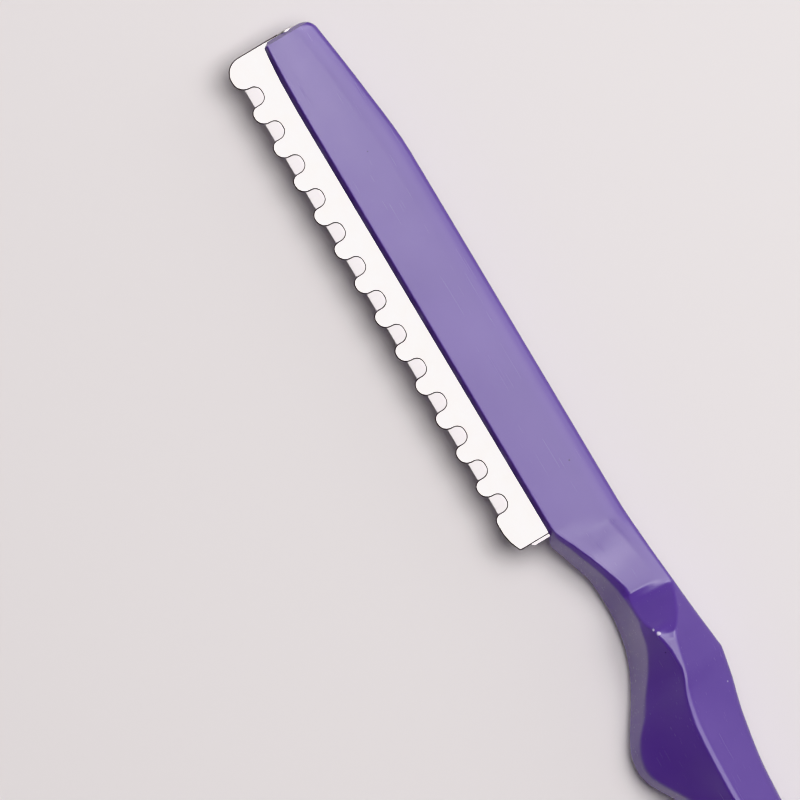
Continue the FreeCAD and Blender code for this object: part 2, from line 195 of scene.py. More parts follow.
# %% The rails of the upper side, from the spine to the widest line of the cutting side
rails = {
    "shoulder": [
        (0, -6.8, 1.85, 0.45),
        (TIP_TAPER / 2, -8.02, 1.8, 0.45),
        (TIP_TAPER, -8.87, 1.75, 0.45),
        (55, -8.82, 1.75, 0.45),
        (NECK, -8.8, 1.75, 0.45),
        (71, -9.1, 1.7, 0.45),
        (76, -9.5, 1.8, 0.45),
        (RAMP_TOP, -9.92, 2.45, 0.5),
        (83, -10.13, 2.03, 0.5),
        (ELBOW - 0.6, -10.31, 1.64, 0.5),
        (ELBOW, -10.38, 1.53, 0.5),
        (ELBOW + 0.6, -10.3, 1.52, 0.5),
        (87.4, -10.02, 1.55, 0.55),
        (89, -9.68, 1.62, 0.6),
        (BELLY, -8.57, 1.75, 0.6),
        (TAIL, -7.42, 2.2, 0.8),
        (117, -6.8, 1.9, 1.0),
        (END, -9.0, 1.7, 1.0),
    ],
    "scoop": [
        (0, -5.2, HEAD_HALF, 0.7),
        (TIP_TAPER / 2, -6.5, HEAD_HALF, 0.9),
        (TIP_TAPER, -7.25, HEAD_HALF, 1.0),
        (HEEL, -7.3, HEAD_HALF, 0.9),
        (66.3, -7.38, 2.3, 0.8),
        (67.2, -7.45, 2.24, 0.8),
        (68.5, -7.55, 2.13, 0.7),
        (70, -7.7, 2.02, 0.6),
        (71, -7.8, 1.97, 0.5),
        (72, -7.9, 1.94, 0.5),
        (75.2, -8.25, 1.9, 0.4),
        (75.9, -8.5, 1.93, 0.35),
        (76.8, -8.85, 2.3, 0.3),
        (77.6, -8.75, 2.9, 0.3),
        (79.3, -8.1, 4.2, 0.35),
        (80.5, -7.35, 5.25, 0.35),
        (81.2, -6.75, 5.8, 0.35),
        (82, -6.4, GRIP_HALF, 0.4),
        (84, -5.85, GRIP_HALF, 0.4),
        (86, -5.35, GRIP_HALF, 0.4),
        (88, -4.55, 5.93, 0.4),
        (90, -4.05, 5.86, 0.4),
        (92, -3.7, 5.84, 0.4),
        (96, -3.42, 5.83, 0.4),
        (TAIL, -3.25, 5.83, 0.5),
        (END, -6.4, TAIL_HALF, 0.8),
    ],
    "crest": [
        (0, -0.95, HEAD_HALF, 0.12),
        (3, -0.8, HEAD_HALF, 0.12),
        (6, -0.68, HEAD_HALF, 0.12),
        (10, -0.62, HEAD_HALF, 0.12),
        (63.4, -0.58, HEAD_HALF, 0.12),
        (64.5, -0.64, 2.3, 0.12),
        (65.2, -0.86, 2.27, 0.12),
        (66, -1.2, 2.22, 0.12),
        (67, -1.7, 2.15, 0.12),
        (68, -2.12, 2.07, 0.12),
        (69, -2.56, 1.985, 0.12),
        (70, -2.95, 1.91, 0.12),
        (71, -3.31, 1.85, 0.12),
        (72, -3.65, 1.81, 0.14),
        (73.4, -4.08, 1.78, 0.16),
        (74.4, -4.3, 1.77, 0.2),
        (RAMP_FOOT, -4.3, 1.77, 0.25),
        (75.6, -4.05, 2.0, 0.25),
        (76.4, -3.95, 2.45, 0.25),
        (78, -3.98, 3.8, 0.25),
        (79.1, -4.2, 4.85, 0.25),
        (79.8, -4.55, 5.55, 0.25),
        (80.4, -4.7, 5.9, 0.25),
        (81.2, -4.84, GRIP_HALF, 0.25),
        (83.3, -5.12, GRIP_HALF, 0.25),
        (85, -5.14, GRIP_HALF, 0.25),
        (86.4, -4.76, GRIP_HALF, 0.3),
        (88, -4.05, GRIP_HALF, 0.3),
        (90, -3.5, GRIP_HALF, 0.3),
        (92, -3.12, GRIP_HALF, 0.3),
        (96, -2.8, GRIP_HALF, 0.3),
        (TAIL, -2.6, GRIP_HALF, 0.4),
        (END, -5.8, TAIL_HALF, 0.8),
    ],
    "brow": [
        (0, -0.8, 1.75, 0.3),
        (6, -0.46, 1.75, 0.3),
        (10, -0.38, 1.75, 0.3),
        (63.4, -0.34, 1.75, 0.3),
        (65.2, -0.42, 1.72, 0.3),
        (66, -0.72, 1.68, 0.3),
        (67, -1.15, 1.55, 0.3),
        (68, -1.52, 1.4, 0.3),
        (70, -2.3, 1.22, 0.3),
        (72, -2.95, 1.1, 0.3),
        (74, -3.4, 0.95, 0.3),
        (76, -3.66, 1.85, 0.3),
        (78, -3.68, 3.4, 0.3),
        (79, -3.45, 3.95, 0.3),
        (80, -3.25, 4.1, 0.35),
        (81, -3.0, 3.85, 0.4),
        (82, -2.62, 3.4, 0.4),
        (84, -1.45, 2.1, 0.4),
        (86, 0.0, 1.1, 0.4),
        (88, 1.3, 0.6, 0.4),
        (90, 3.05, -0.35, 0.4),
        (92, 4.05, -0.7, 0.4),
        (BELLY, 4.28, -0.8, 0.4),
        (94.2, 4.18, -0.7, 0.4),
        (95.6, 3.6, -0.25, 0.45),
        (97, 2.8, 0.4, 0.5),
        (98.4, 2.0, 1.15, 0.6),
        (TAIL, 0.9, 2.3, 0.8),
        (112, -1.2, 2.6, 1.2),
        (END, -4.0, 1.7, 1.0),
    ],
    "front": [
        (0, -0.62, LIP_HALF, 0.1),
        (3, -0.3, LIP_HALF, 0.1),
        (6, -0.15, LIP_HALF, 0.1),
        (10, -0.08, LIP_HALF, 0.1),
        (64, -0.06, LIP_HALF, 0.1),
        (64.9, 0.1, 0.2, 0.2),
        (65.5, 0.46, -0.8, 0.3),
        (66, 0.52, -1.5, 0.4),
        (66.6, 0.3, -2.0, 0.4),
        (67.2, 0.08, -2.3, 0.4),
        (68, -0.15, -2.6, 0.5),
        (70, -0.8, -3.2, 0.5),
        (72, -1.3, -3.7, 0.5),
        (74, -1.42, -4.0, 0.5),
        (76, -1.4, -4.3, 0.5),
        (78, -1.2, -4.4, 0.5),
        (80, -0.85, -4.4, 0.5),
        (82, -0.2, -4.4, 0.5),
        (84, 0.75, -4.4, 0.5),
        (86, 1.9, -4.3, 0.5),
        (88, 3.2, -4.1, 0.5),
        (90, 4.42, -3.8, 0.5),
        (91.6, 5.05, -3.55, 0.5),
        (BELLY, 5.23, -3.4, 0.5),
        (95, 4.9, -3.2, 0.5),
        (96, 4.4, -3.1, 0.5),
        (98, 3.25, -2.8, 0.6),
        (TAIL, 1.9, -2.2, 1.0),
        (112, -0.4, -1.2, 1.4),
        (END, -3.0, 0.0, 1.4),
    ],
}

# %% The rails of the under side, on round to the spine
rails.update({
    "under_front": [
        (0, -0.62, -LIP_HALF, 0.1),
        (3, -0.3, -LIP_HALF, 0.1),
        (6, -0.15, -LIP_HALF, 0.1),
        (10, -0.08, -LIP_HALF, 0.1),
        (64, -0.06, -LIP_HALF, 0.1),
        (65.5, 0.36, -1.5, 0.3),
        (66, 0.36, -2.0, 0.4),
        (68, -0.25, -3.0, 0.5),
        (72, -1.45, -4.15, 0.5),
        (76, -1.65, -4.9, 0.6),
        (84, 0.45, -5.1, 0.7),
        (88, 2.85, -4.8, 0.7),
        (92, 4.95, -4.3, 0.7),
        (BELLY, 5.1, -4.15, 0.7),
        (97, 3.5, -3.7, 0.8),
        (TAIL, 1.6, -3.2, 1.2),
        (112, -0.7, -2.2, 1.2),
        (END, -3.2, -0.8, 1.2),
    ],
    "under_brow": [
        (0, -0.95, -HEAD_HALF, 0.3),
        (6, -0.68, -HEAD_HALF, 0.3),
        (10, -0.62, -HEAD_HALF, 0.3),
        (64, -0.6, -HEAD_HALF, 0.3),
        (68, -1.5, -3.3, 0.6),
        (72, -2.5, -4.5, 0.8),
        (76, -2.9, -5.4, 1.0),
        (84, -1.0, -5.85, 1.2),
        (88, 1.2, -5.75, 1.2),
        (92, 3.0, -5.55, 1.2),
        (BELLY, 3.2, -5.5, 1.2),
        (TAIL, -0.2, -5.2, 1.4),
        (112, -2.2, -4.3, 1.4),
        (END, -4.4, -2.4, 1.2),
    ],
    "keel": [
        (0, -3.4, -HEAD_HALF, 0.5),
        (NECK, -4.4, -HEAD_HALF, 0.5),
        (72, -5.0, -4.3, 1.4),
        (76, -5.2, -5.3, 1.6),
        (RAMP_TOP, -5.3, -5.9, 1.8),
        (ELBOW, -4.6, -6.1, 2.0),
        (BELLY, -2.6, -6.15, 2.0),
        (TAIL, -2.9, -6.1, 1.8),
        (END, -6.1, -TAIL_HALF, 1.2),
    ],
    "under_shoulder": [
        (0, -6.8, -2.1, 0.8),
        (TIP_TAPER / 2, -8.02, -2.1, 0.8),
        (TIP_TAPER, -8.87, -2.1, 0.8),
        (55, -8.82, -2.1, 0.8),
        (NECK, -8.8, -2.1, 0.8),
        (71, -9.1, -2.4, 1.0),
        (76, -9.5, -3.0, 1.2),
        (RAMP_TOP, -9.92, -3.1, 1.2),
        (ELBOW - 0.6, -10.33, -3.0, 1.2),
        (ELBOW, -10.39, -3.0, 1.2),
        (ELBOW + 0.6, -10.32, -3.0, 1.2),
        (89, -9.68, -2.9, 1.2),
        (BELLY, -8.57, -2.7, 1.2),
        (TAIL, -7.42, -2.6, 1.2),
        (117, -6.8, -2.4, 1.2),
        (END, -9.0, -1.7, 1.0),
    ],
})
hollow_depths = [(0, 0), (80, 0), (88, 0.1), (TAIL, 0.15), (END, 0.05)]
crown_heights = [(0, 0.07), (HEEL, 0.07), (71, 0), (END, 0)]
print(len(rails), "rails with", sum(len(points) for points in rails.values()), "points")

# %% [markdown]
# A smooth curve through the points of a rail must not swing past them, or a flat cheek would
# bulge before the ramp. So the slope at each point is the harmonic mean of the slopes beside it,
# and zero where they change sign. This is the usual monotone cubic.


# %% The curve through a rail's points
def follow(points, back, column):
    """Value of one column this far back from the tip, on the smooth line through the points."""
    steps = [(b[column] - a[column]) / (b[0] - a[0]) for a, b in zip(points, points[1:])]
    slopes = [steps[0]]
    for before, after in zip(steps, steps[1:]):
        slopes.append(2 * before * after / (before + after) if before * after > 0 else 0.0)
    slopes.append(steps[-1])
    span = max((i for i in range(len(steps)) if points[i][0] <= back), default=0)
    length = points[span + 1][0] - points[span][0]
    u = min(max((back - points[span][0]) / length, 0.0), 1.0)
    left, right = points[span][column], points[span + 1][column]
    start = (1 + 2 * u) * (1 - u) ** 2 * left + u * (1 - u) ** 2 * length * slopes[span]
    return start + u * u * (3 - 2 * u) * right + u * u * (u - 1) * length * slopes[span + 1]


# %% [markdown]
# One ring is the polygon of the ten corners with each corner rounded. A rounding leaves one side
# of the corner, heads for the corner and comes into the other side: a quadratic Bezier. Every
# ring gets the same number of points in the same order, so ring after ring they line up as long
# smooth strips. The tail is rounded by drawing the rings in, as a radius would, and the tip gets
# a steep slanted face in the same way.

# %% One ring of the handle
ROUND_POINTS = 7
SIDE_POINTS = (0.08, 0.5, 0.92)
TIP_SLANT = 0.45
TIP_SLANT_DROP = 1.45
TIP_CORNER = 1.5
TIP_MIDDLE = -3.4
FRONT_SHARE = 0.4
MOST_OF_SIDE = 0.48
TAIL_ROUND = 3.0
HOLLOW_SOFTNESS = 2.0
CROWN_SOFTNESS = 3.0


def drawn_in(distance, radius):
    """How far a round of this radius has drawn the surface in, this far from the end."""
    if distance >= radius:
        return 0.0
    return radius - math.sqrt(radius ** 2 - (radius - distance) ** 2)


def corner_at(rail, back):
    """A rail's corner at this place as (out, up, softness), with the end rounds taken in."""
    out, up, soft = (follow(rail, back, column) for column in (1, 2, 3))
    corner_in = drawn_in(back, TIP_CORNER)
    face_in = TIP_SLANT_DROP * max(1 - back / TIP_SLANT, 0)
    off_middle = (out - TIP_MIDDLE) / abs(TIP_MIDDLE)
    out += corner_in * min(max(-off_middle, 0), 1)
    out -= FRONT_SHARE * face_in * min(max(off_middle, 0), 1)
    return out, up * (1 - face_in / HEAD_HALF), soft


def ring_corners(back):
    """The outline's corners here: the rails', the cheek's crown and the facet's hollow."""
    corners = {name: corner_at(rail, back) for name, rail in rails.items()}
    scoop, crest, brow = corners["scoop"], corners["crest"], corners["brow"]
    across = [(a + b) / 2 for a, b in zip(scoop, crest)]
    crown = (across[0], across[1] + follow(crown_heights, back, 1), CROWN_SOFTNESS)
    across = [(a + b) / 2 for a, b in zip(crest, brow)]
    hollow = (across[0], across[1] - follow(hollow_depths, back, 1), HOLLOW_SOFTNESS)
    outline = []
    for name, corner in corners.items():
        if name == "crest":
            outline.append(crown)
        if name == "brow":
            outline.append(hollow)
        outline.append(corner)
    return outline


def ring_points(back):
    """The handle's outline at this place, as frame points in order round it."""
    corners = ring_corners(back)
    tail_left = 1 - drawn_in(END - back, TAIL_ROUND) / TAIL_ROUND
    spine_out = min(out for out, up, soft in corners)
    front_out = max(out for out, up, soft in corners)
    middle = (spine_out + front_out) / 2
    points = [
        Vector((middle + (out - middle) * tail_left, up * tail_left)) for out, up, soft in corners
    ]
    count = len(points)
    starts, ends = [], []
    for i, point in enumerate(points):
        before, after = points[i - 1] - point, points[(i + 1) % count] - point
        soft = corners[i][2] * tail_left
        starts.append(point + before * min(soft / max(before.length, SAME_PLACE), MOST_OF_SIDE))
        ends.append(point + after * min(soft / max(after.length, SAME_PLACE), MOST_OF_SIDE))
    ring = []
    for i, point in enumerate(points):
        for step in range(ROUND_POINTS):
            u = step / (ROUND_POINTS - 1)
            ring.append((1 - u) ** 2 * starts[i] + 2 * u * (1 - u) * point + u * u * ends[i])
        following = starts[(i + 1) % count]
        ring += [ends[i].lerp(following, share) for share in SIDE_POINTS]
    return [place(back, out, up) for out, up in ring]


# %% Where the rings stand: close together where the shape turns fast
def spread(start, end, count):
    """Evenly spaced places from start up to, and without, end."""
    return [start + (end - start) * i / count for i in range(count)]


tip_rings = [*spread(0, 0.08, 2), *spread(0.08, TIP_SLANT - 0.04, 4), TIP_SLANT - 0.04]
tail_rings = [END - TAIL_ROUND * (1 - math.cos(math.radians(6 * i))) for i in range(15, 0, -1)]
ring_places = (
    tip_rings
    + [TIP_SLANT, TIP_SLANT + 0.02, TIP_SLANT + 0.06]
    + spread(TIP_SLANT + 0.12, TIP_CORNER, 7)
    + spread(TIP_CORNER, 62, 34)
    + spread(62, 74, 40)
    + spread(74, 83, 72)
    + spread(83, 88, 32)
    + spread(88, TAIL, 44)
    + spread(TAIL, END - TAIL_ROUND, 50)
    + tail_rings
)
ring_size = len(ring_corners(0)) * (ROUND_POINTS + len(SIDE_POINTS))
print(len(ring_places), "rings of", ring_size, "points")

# %% [markdown]
# The blank is a cylinder lying along the handle. Subdividing only its lengthwise edges cuts it
# into rings, which is what a loop cut does by hand. One subdivide makes at most a hundred cuts,
# so the rings come in two goes. Then each ring's vertices, found by how far along and how far
# round they are, go to the outline of their place.


# %% From cylinder to handle
MOST_CUTS = 100


def lengthwise(middle, edge):
    """Whether an edge of the blank runs along X."""
    return abs(edge.verts[0].co.x - edge.verts[1].co.x) > SAME_PLACE


def turned_blank(name, sides, rings):
    """A cylinder along X with this many sides and rings, one unit long and one unit wide."""
    deselect_all()
    turn = Euler((0, math.pi / 2, 0))
    bpy.ops.mesh.primitive_cylinder_add(vertices=sides, radius=0.5, depth=1, rotation=turn)
    blank = bpy.context.object
    blank.name = name
    fix_transform(blank)
    first = max(parts for parts in range(1, MOST_CUTS + 2) if (rings - 1) % parts == 0)
    start_editing(blank)
    for parts in (first, (rings - 1) // first):
        pick(blank, "edges", lengthwise)
        if parts > 1:
            bpy.ops.mesh.subdivide(number_cuts=parts - 1)
    stop_editing()
    return blank


def lay_rings(blank, rings):
    """Moves each vertex of the blank to its place on its ring. The first ring is at +X."""
    sides = len(rings[0])
    for vertex in blank.data.vertices:
        ring = round((0.5 - vertex.co.x) * (len(rings) - 1))
        side = round(math.atan2(vertex.co.z, vertex.co.y) / (2 * math.pi) * sides) % sides
        vertex.co = rings[ring][-side % sides]


handle = turned_blank("styling_handle", ring_size, len(ring_places))
lay_rings(handle, [ring_points(back) for back in ring_places])
start_editing(handle)
bpy.ops.mesh.select_all(action="SELECT")
bpy.ops.mesh.normals_make_consistent(inside=False)
stop_editing()
print("handle mesh:", len(handle.data.polygons), "faces")

# %% [markdown]
# The guard slides in a keyhole: a round channel with a narrow slot to the front face. It is cut
# with two tools, as a mould's two cores would form it. The slot tool flares at the mouth, which
# leaves the small lead-in that a moulded slot has.

# %% The keyhole slot
CHANNEL_RADIUS = 1.11
CHANNEL_OUT = -3.7
SLOT_HALF = 0.6
SLOT_BACK = -4.11
LIP = 0.12
PAST_TIP = 2.0
guard_heel = back_from_tip(guard_low.x)
slot_end = back_from_tip(blade_low.x)


def slot_tool():
    """Block as thick as the slot, whose cutting-side face is drawn out and flared."""
    deselect_all()
    low = place(slot_end, SLOT_BACK, -SLOT_HALF)
    high = place(-PAST_TIP, -LIP, SLOT_HALF)
    bpy.ops.mesh.primitive_cube_add(size=1, location=(low + high) / 2, scale=high - low)
    tool = bpy.context.object
    fix_transform(tool)
    start_editing(tool)
    pick(tool, "faces", lambda middle, face: face.normal.y > 0.9)
    middle = place(0, -LIP, 0)
    bpy.ops.mesh.extrude_region_move(TRANSFORM_OT_translate={"value": (0, LIP * MM, 0)})
    flare = (SLOT_HALF + LIP) / SLOT_HALF
    bpy.ops.transform.resize(value=(1, 1, flare), center_override=middle)
    bpy.ops.mesh.extrude_region_move(TRANSFORM_OT_translate={"value": (0, 2 * MM, 0)})
    stop_editing()
    return tool


def channel_tool():
    """Long round core for the channel's bore."""
    deselect_all()
    start, end = place(guard_heel, CHANNEL_OUT, 0), place(-PAST_TIP, CHANNEL_OUT, 0)
    bpy.ops.mesh.primitive_cylinder_add(
        vertices=64,
        radius=CHANNEL_RADIUS * MM,
        depth=(end - start).length,
        location=(start + end) / 2,
        rotation=(0, math.pi / 2, 0),
    )
    tool = bpy.context.object
    fix_transform(tool)
    return tool


cut_away(handle, slot_tool())
cut_away(handle, channel_tool())
smooth(handle, 32)
print("handle with its slot:", len(handle.data.polygons), "faces")

# %% [markdown]
# ## The comb guard
# The real guard is pressed from one strip of stainless sheet. Its front leaf has round teeth that
# keep the blade off the skin, its back is rolled into a tube that runs in the handle's channel,
# and a plain rear leaf covers the blade from below. It could be cut from a block, but folding a
# sheet is how it is made: a plane gets its teeth, its back edge is spun round into the roll and
# drawn out into the rear leaf, and a Solidify modifier gives the sheet its thickness.

# %% Sizes of the guard, in millimetres
SHEET = 0.35
SHEET_MIDDLE = 0.35
ROLL_MIDDLE = 0.875
COMB_REACH = 4.5
REAR_REACH = 2.0
GULLET_PITCH = 4.5
GULLET_WIDTH = 2.1
GULLET_FLOOR = 2.2
GULLET_ROUND = 0.9
TOOTH_TIP_ROUND = 0.95
TOOTH_HEEL_ROUND = 1.3
TIP_LOBE = 3.75
TIP_LOBE_TOP = 4.62
TIP_LOBE_ROUND = 2.0
TIP_LOBE_HEEL_ROUND = 1.5
HEEL_LOBE = 4.0
HEEL_CUT = 1.9
HEEL_CUT_DEPTH = 0.75
HEEL_ROUND = 0.3
EDGE_ROUND = 0.17
ROLL_STEPS = 36
guard_tip = back_from_tip(guard_high.x)
roll_side = math.sqrt(ROLL_MIDDLE ** 2 - SHEET_MIDDLE ** 2)

# %% Where the walls of the gullets stand
walls = []
wall = guard_tip + TIP_LOBE
while wall + GULLET_WIDTH + HEEL_LOBE < guard_heel:
    walls.append((wall, wall + GULLET_WIDTH))
    wall += GULLET_PITCH
print(len(walls), "gullets")


# %% [markdown]
# The teeth start square. The strip is cut across at each gullet wall with bisect, the stretches
# of its edge that become teeth are extruded outward, and the cuts are dissolved again, so that
# the leaf is one flat face. Then each kind of corner is rounded by a vertex bevel with its own
# radius, which is how the press tool's corners would be drawn.


# %% The toothed front leaf
def is_tooth(back):
    """Whether a place along the guard's edge belongs to a tooth or a lobe."""
    return not any(start < back < end for start, end in walls)


def round_corners(piece, radius, places):
    """Rounds the outline corners that stand at these (back, out) places."""
    targets = [place(back, out, 0).xy for back, out in places]
    found = pick(
        piece,
        "verts",
        lambda at, v: any((at.xy - target).length < 0.01 * MM for target in targets),
    )
    bpy.ops.mesh.bevel(offset=radius * MM, segments=8, affect="VERTICES")
    return found


def front_leaf():
    """Flat sheet with the comb's outline, at the middle of the front leaf's thickness."""
    deselect_all()
    low = place(guard_heel, CHANNEL_OUT + roll_side, SHEET_MIDDLE)
    high = place(guard_tip, GULLET_FLOOR, SHEET_MIDDLE)
    size = Vector((high.x - low.x, high.y - low.y, 1))
    bpy.ops.mesh.primitive_plane_add(size=1, location=(low + high) / 2)
    leaf = bpy.context.object
    leaf.scale = size
    fix_transform(leaf)
    start_editing(leaf)
    for pair in walls:
        for wall_back in pair:
            bpy.ops.mesh.select_all(action="SELECT")
            bpy.ops.mesh.bisect(plane_co=place(wall_back, 0, 0), plane_no=(1, 0, 0))
    edge_y = place(0, GULLET_FLOOR, 0).y

    def at_edge(middle, edge):
        along = abs(edge.verts[0].co.y - edge.verts[1].co.y) < 1e-7
        return along and abs(middle.y - edge_y) < 1e-7 and is_tooth(back_from_tip(middle.x))

    pick(leaf, "edges", at_edge)
    rise = (COMB_REACH - GULLET_FLOOR) * MM
    bpy.ops.mesh.extrude_region_move(TRANSFORM_OT_translate={"value": (0, rise, 0)})
    lobe_end = place(guard_tip + TIP_LOBE, 0, 0).x
    crest_y = place(0, COMB_REACH, 0).y

    def on_crest(at):
        return abs(at.y - crest_y) < SAME_PLACE

    pick(leaf, "verts", lambda at, v: at.x > lobe_end - SAME_PLACE and on_crest(at))
    bpy.ops.transform.translate(value=(0, (TIP_LOBE_TOP - COMB_REACH) * MM, 0))
    heel_x = place(guard_heel, 0, 0).x
    cut_x = place(guard_heel - HEEL_CUT, 0, 0).x
    bpy.ops.mesh.select_all(action="SELECT")
    bpy.ops.mesh.bisect(plane_co=(cut_x, 0, 0), plane_no=(1, 0, 0))
    pick(leaf, "verts", lambda at, v: abs(at.x - heel_x) < SAME_PLACE and on_crest(at))
    bpy.ops.transform.translate(value=(0, -HEEL_CUT_DEPTH * MM, 0))
    bpy.ops.mesh.select_all(action="SELECT")
    bpy.ops.mesh.dissolve_limited(angle_limit=math.radians(0.5))
    return leaf


guard = front_leaf()
guard.name = "folded_comb_guard"
first_wall = walls[0][0]
floors = [(back, GULLET_FLOOR) for pair in walls for back in pair]
tooth_tip_corners = [(pair[1], COMB_REACH) for pair in walls]
tooth_tip_corners.append((guard_heel - HEEL_CUT, COMB_REACH))
tooth_heel_corners = [(pair[0], COMB_REACH) for pair in walls[1:]]
counts = [
    round_corners(guard, TIP_LOBE_ROUND, [(guard_tip, TIP_LOBE_TOP)]),
    round_corners(guard, TIP_LOBE_HEEL_ROUND, [(first_wall, TIP_LOBE_TOP)]),
    round_corners(guard, GULLET_ROUND, floors),
    round_corners(guard, TOOTH_TIP_ROUND, tooth_tip_corners),
    round_corners(guard, TOOTH_HEEL_ROUND, tooth_heel_corners),
    round_corners(guard, HEEL_ROUND, [(guard_heel, COMB_REACH - HEEL_CUT_DEPTH)]),
]
stop_editing()
print("corners rounded:", counts)

# %% [markdown]
# Spinning an edge about an axis draws a surface of revolution, here the rolled back. The spin
# starts where the front leaf meets the roll and stops where the rear leaf leaves it.

# %% The rolled back, the rear leaf and the sheet's thickness
start_editing(guard)
root_y = place(0, CHANNEL_OUT + roll_side, 0).y
pick(guard, "edges", lambda middle, edge: abs(middle.y - root_y) < SAME_PLACE and edge.is_boundary)
open_angle = math.atan2(SHEET_MIDDLE, roll_side)
bpy.ops.mesh.spin(
    steps=ROLL_STEPS,
    angle=2 * open_angle - 2 * math.pi,
    center=place(0, CHANNEL_OUT, 0),
    axis=(1, 0, 0),
)
rear_root = place(0, CHANNEL_OUT + roll_side, -SHEET_MIDDLE)
found = pick(
    guard,
    "edges",
    lambda middle, edge: (middle.yz - rear_root.yz).length < 1e-5 and edge.is_boundary,
)
rear_width = (REAR_REACH - CHANNEL_OUT - roll_side) * MM
bpy.ops.mesh.extrude_region_move(TRANSFORM_OT_translate={"value": (0, rear_width, 0)})
bpy.ops.mesh.select_all(action="SELECT")
bpy.ops.mesh.remove_doubles(threshold=0.002 * MM)
bpy.ops.mesh.normals_make_consistent(inside=False)
stop_editing()
# Two empty slots, so that Solidify can give the rim the second one.
guard.data.materials.append(None)
guard.data.materials.append(None)
apply_modifier(
    guard,
    "SOLIDIFY",
    thickness=SHEET * MM,
    offset=0,
    use_even_offset=True,
    material_offset_rim=1,
)
apply_modifier(
    guard,
    "BEVEL",
    width=EDGE_ROUND * MM,
    segments=3,
    limit_method="ANGLE",
    angle_limit=math.radians(40),
    use_clamp_overlap=False,
    material=1,
    miter_outer="MITER_ARC",
)
smooth(guard, 30)
apply_modifier(guard, "WEIGHTED_NORMAL", keep_sharp=True)
print("guard mesh:", len(guard.data.polygons), "faces, rear edges drawn out:", found)

# %% [markdown]
# ## The blade
# A styling blade is a strip of hardened steel, ground thin toward its edge from both faces and
# then honed at a steeper angle. A flat bar with one bevel would catch the light in one band only.
# Cutting the bar lengthwise where each grind starts, and squeezing the lines between, gives both
# bands.

# %% Sizes of the blade, in millimetres
BLADE_THICKNESS = 0.25
BLADE_REACH = 3.75
BLADE_IN_BEAD = 0.35
GRIND_WIDTH = 1.3
GRIND_THICKNESS = 0.09
HONED_WIDTH = 0.28
EDGE_THICKNESS = 0.03
TIP_CORNER_CUT = (0.6, 0.9)
HEEL_CORNER_CUT = (0.8, 1.8)
blade_heel = back_from_tip(blade_low.x)
blade_tip = back_from_tip(blade_high.x)


# %% Grinding the blade
def ground_blade():
    """Bar of the blade's size, ground, honed, and with its two outer corners cut off."""
    deselect_all()
    low = place(blade_heel, CHANNEL_OUT - BLADE_IN_BEAD, -BLADE_THICKNESS / 2)
    high = place(blade_tip, BLADE_REACH, BLADE_THICKNESS / 2)
    bpy.ops.mesh.primitive_cube_add(size=1, location=(low + high) / 2, scale=high - low)
    bar = bpy.context.object
    fix_transform(bar)
    start_editing(bar)
    lines = [(GRIND_WIDTH, BLADE_THICKNESS), (HONED_WIDTH, GRIND_THICKNESS), (0, EDGE_THICKNESS)]
    for width, thickness in lines:
        line = place(0, BLADE_REACH - width, 0)
        bpy.ops.mesh.select_all(action="SELECT")
        if width > 0:
            bpy.ops.mesh.bisect(plane_co=line, plane_no=(0, 1, 0))
        pick(bar, "verts", lambda at, v: abs(at.y - line.y) < 1e-7)
        squeeze = thickness / BLADE_THICKNESS
        bpy.ops.transform.resize(value=(1, 1, squeeze), center_override=line)
    ends = ((blade_tip, 1, TIP_CORNER_CUT), (blade_heel, -1, HEEL_CORNER_CUT))
    for end_back, outward, (length, depth) in ends:
        corner = place(end_back, BLADE_REACH - depth, 0)
        slant = Vector((outward * depth, length, 0))
        bpy.ops.mesh.select_all(action="SELECT")
        bpy.ops.mesh.bisect(plane_co=corner, plane_no=slant, use_fill=True, clear_outer=True)
    bpy.ops.mesh.select_all(action="SELECT")
    bpy.ops.mesh.normals_make_consistent(inside=False)
    stop_editing()
    return bar


blade = ground_blade()
blade.name = "ground_blade"
apply_modifier(
    blade, "BEVEL", width=0.02 * MM, segments=1, limit_method="ANGLE", angle_limit=math.radians(60)
)
smooth(blade, 2)
print("blade mesh:", len(blade.data.polygons), "faces")

# %% [markdown]
# ## The bead on the blade's back
# The blade is held in the guard by a round bead crimped over its back edge. The bead is a short
# rod with eased ends and a groove for the blade. A cutter as thick as the blade makes the groove.


# %% The crimped bead
BEAD_GROOVE = 0.35
BEAD_END_EASE = 0.12


def crimped_bead():
    """Rod with eased ends and a groove along its cutting side."""
    deselect_all()
    middle = (spine_low + spine_high) / 2
    radius = (spine_high.z - spine_low.z) / 2
    axis = place(back_from_tip(middle.x), CHANNEL_OUT, 0)
    bpy.ops.mesh.primitive_cylinder_add(
        vertices=48,
        radius=radius,
        depth=spine_high.x - spine_low.x,
        location=axis,
        rotation=(0, math.pi / 2, 0),
    )
    rod = bpy.context.object
    fix_transform(rod)
    apply_modifier(
        rod,
        "BEVEL",
        width=BEAD_END_EASE * MM,
        segments=3,
        limit_method="ANGLE",
        angle_limit=math.radians(60),
    )
    deselect_all()
    low = place(guard_heel + 1, CHANNEL_OUT - BEAD_GROOVE, -BLADE_THICKNESS / 2)
    high = place(guard_tip - 1, CHANNEL_OUT + 2, BLADE_THICKNESS / 2)
    bpy.ops.mesh.primitive_cube_add(size=1, location=(low + high) / 2, scale=high - low)
    cutter = bpy.context.object
    fix_transform(cutter)
    cut_away(rod, cutter)
    return rod


bead = crimped_bead()
bead.name = "crimped_bead"
smooth(bead, 30)
print("bead mesh:", len(bead.data.polygons), "faces")

# %% [markdown]
# ## Finishes
# Each material starts from the real one and its typical numbers. A pattern's size is given in
# millimetres and turned into a texture scale, because the frame is in metres. One function turns a
# hex colour to the linear values that a shader wants, and one adds a node.


# %% Material helpers
MIX_B = 7
MIX_RESULT = 2


